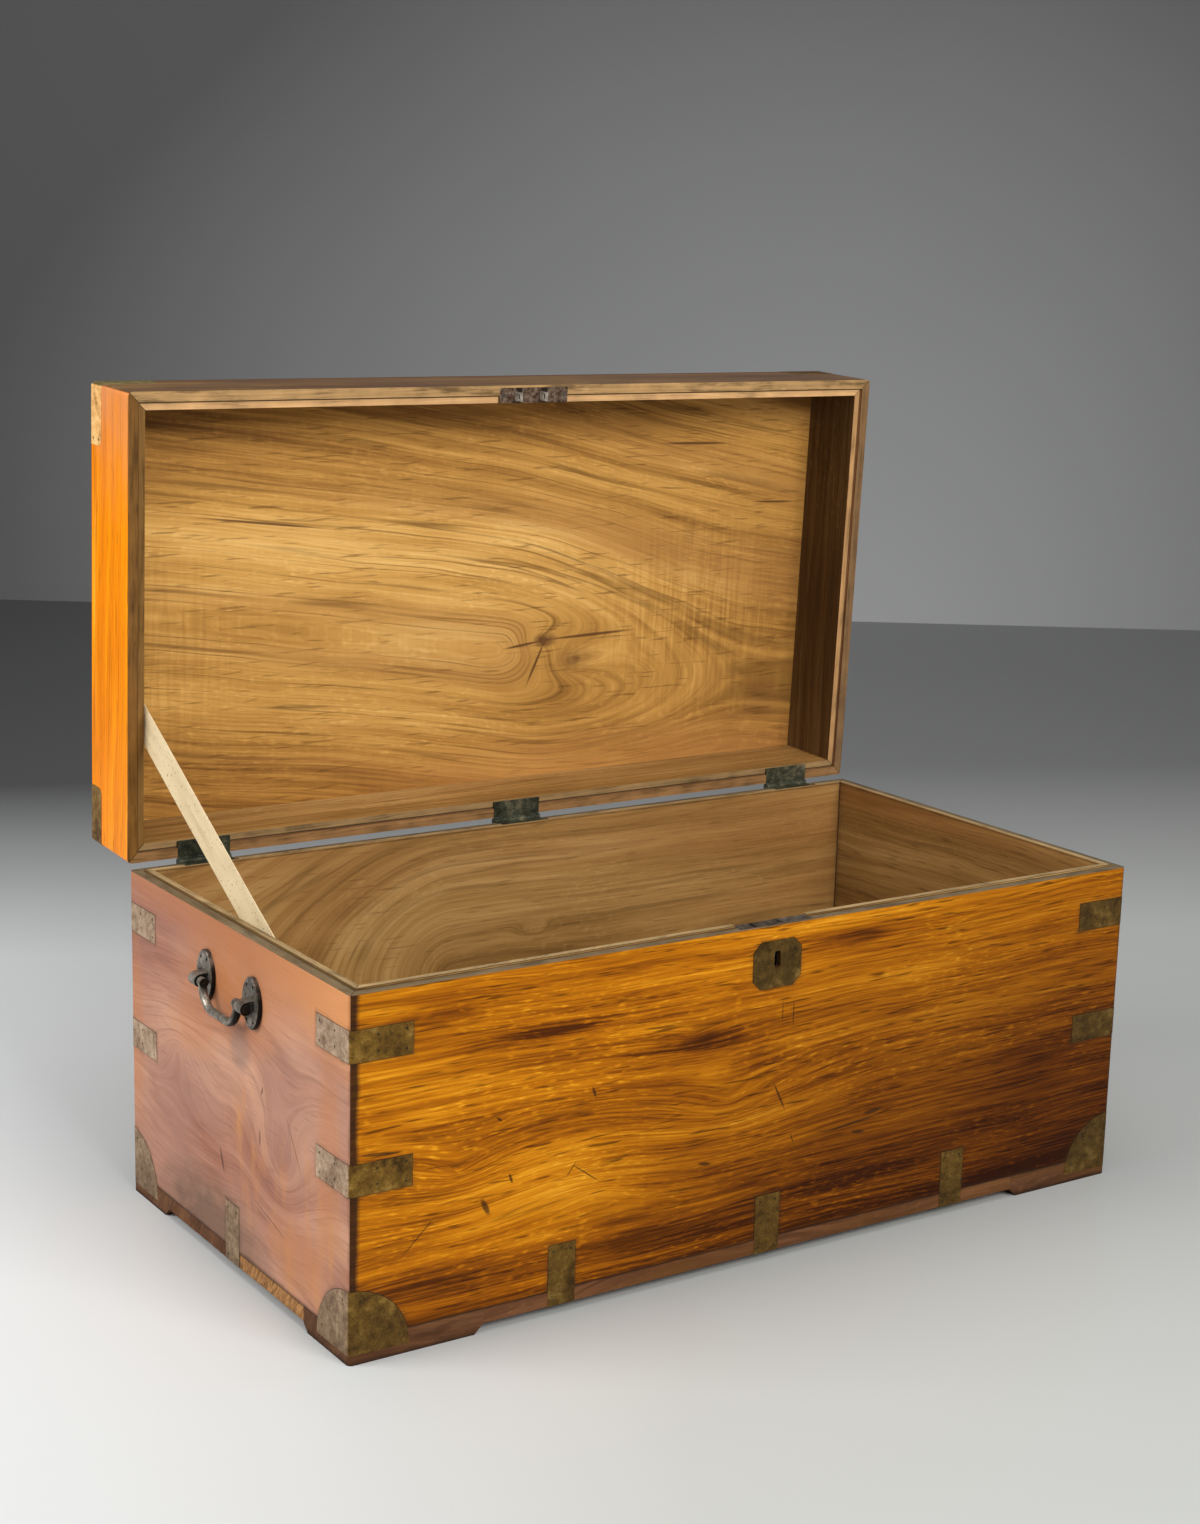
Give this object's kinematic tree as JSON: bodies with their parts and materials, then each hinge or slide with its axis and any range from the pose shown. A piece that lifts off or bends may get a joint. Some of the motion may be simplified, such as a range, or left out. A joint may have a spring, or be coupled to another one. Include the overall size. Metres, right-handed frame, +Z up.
{
  "type": "camphor wood trunk",
  "caption": "Brass-bound camphor wood trunk with mitred boards, a hinged lid held open by a tape stay, a hook-bolt box lock and drop handles.",
  "frame": {"origin": "bottom centre of the open trunk's bounding box, on the floor between the feet", "axes": "+Z up, +X to the right along the front, +Y from the front with the escutcheon to the hinged back"},
  "size_m": [1.0386, 0.624, 0.8975],
  "materials": {
    "camphor_wood": "worn wax polish, figured orange-brown grain",
    "camphor_lining": "bare, dry camphor wood",
    "foot_wood": "dark, worn",
    "inlay_brass": "dull olive patina",
    "lock_metal": "dulled grey",
    "hinge_brass": "dark patina, worn at the knuckles",
    "handle_bronze": "dark bronze patina, worn edges",
    "stay_cotton": "woven cotton tape"
  },
  "bodies": {
    "case": {"front_board": "camphor_wood", "back_board": "camphor_wood", "left_board": "camphor_wood", "right_board": "camphor_wood", "base_board": "camphor_wood", "front_lining": "camphor_lining", "back_lining": "camphor_lining", "left_lining": "camphor_lining", "right_lining": "camphor_lining", "foot_front_left": "foot_wood", "foot_front_right": "foot_wood", "foot_back_left": "foot_wood", "foot_back_right": "foot_wood", "corner_straps_front_left": "inlay_brass", "corner_straps_front_right": "inlay_brass", "corner_straps_back_left": "inlay_brass", "corner_straps_back_right": "inlay_brass", "base_corner_front_left": "inlay_brass", "base_corner_front_right": "inlay_brass", "base_corner_back_left": "inlay_brass", "base_corner_back_right": "inlay_brass", "base_straps_front": "inlay_brass", "base_straps_back": "inlay_brass", "base_straps_sides": "inlay_brass", "escutcheon": "inlay_brass", "lock_plate": "lock_metal", "lock_box": "lock_metal", "drill_pin": "lock_metal", "hinge_case_leaves": "hinge_brass", "hinge_pins": "hinge_brass", "handle_plate_left_front": "handle_bronze", "handle_plate_left_back": "handle_bronze", "handle_plate_right_front": "handle_bronze", "handle_plate_right_back": "handle_bronze", "stay_tape": "stay_cotton"},
    "lid": {"lid_panel": "camphor_wood", "lid_rail_front": "camphor_wood", "lid_rail_back": "camphor_wood", "lid_rail_left": "camphor_wood", "lid_rail_right": "camphor_wood", "lid_lining_front": "camphor_lining", "lid_lining_back": "camphor_lining", "lid_lining_left": "camphor_lining", "lid_lining_right": "camphor_lining", "lid_corner_front_left": "inlay_brass", "lid_corner_front_right": "inlay_brass", "lid_corner_back_left": "inlay_brass", "lid_corner_back_right": "inlay_brass", "lid_link_plate": "lock_metal", "hinge_lid_leaves": "hinge_brass"},
    "left_bail": {"left_bail": "handle_bronze"},
    "right_bail": {"right_bail": "handle_bronze"},
    "lock_bolt": {"lock_bolt": "lock_metal", "bolt_spring": "lock_metal"}
  },
  "joints": [
    {"name": "lid_hinge", "type": "hinge", "parent": "case", "child": "lid", "pos_m": [0, 0.20926, 0.3723], "axis": [1, 0, 0], "range_deg": [0, 87.5], "deforming": ["stay_tape"]},
    {"name": "left_bail_pivot", "type": "hinge", "parent": "case", "child": "left_bail", "pos_m": [-0.5125, -0.05374, 0.305], "axis": [0, 1, 0], "range_deg": [-10, 190]},
    {"name": "right_bail_pivot", "type": "hinge", "parent": "case", "child": "right_bail", "pos_m": [0.5125, -0.05374, 0.305], "axis": [0, -1, 0], "range_deg": [-10, 190]},
    {"name": "lock_bolt_slide", "type": "slide", "parent": "case", "child": "lock_bolt", "axis": [1, 0, 0], "range_m": [0, 0.0075]}
  ]
}
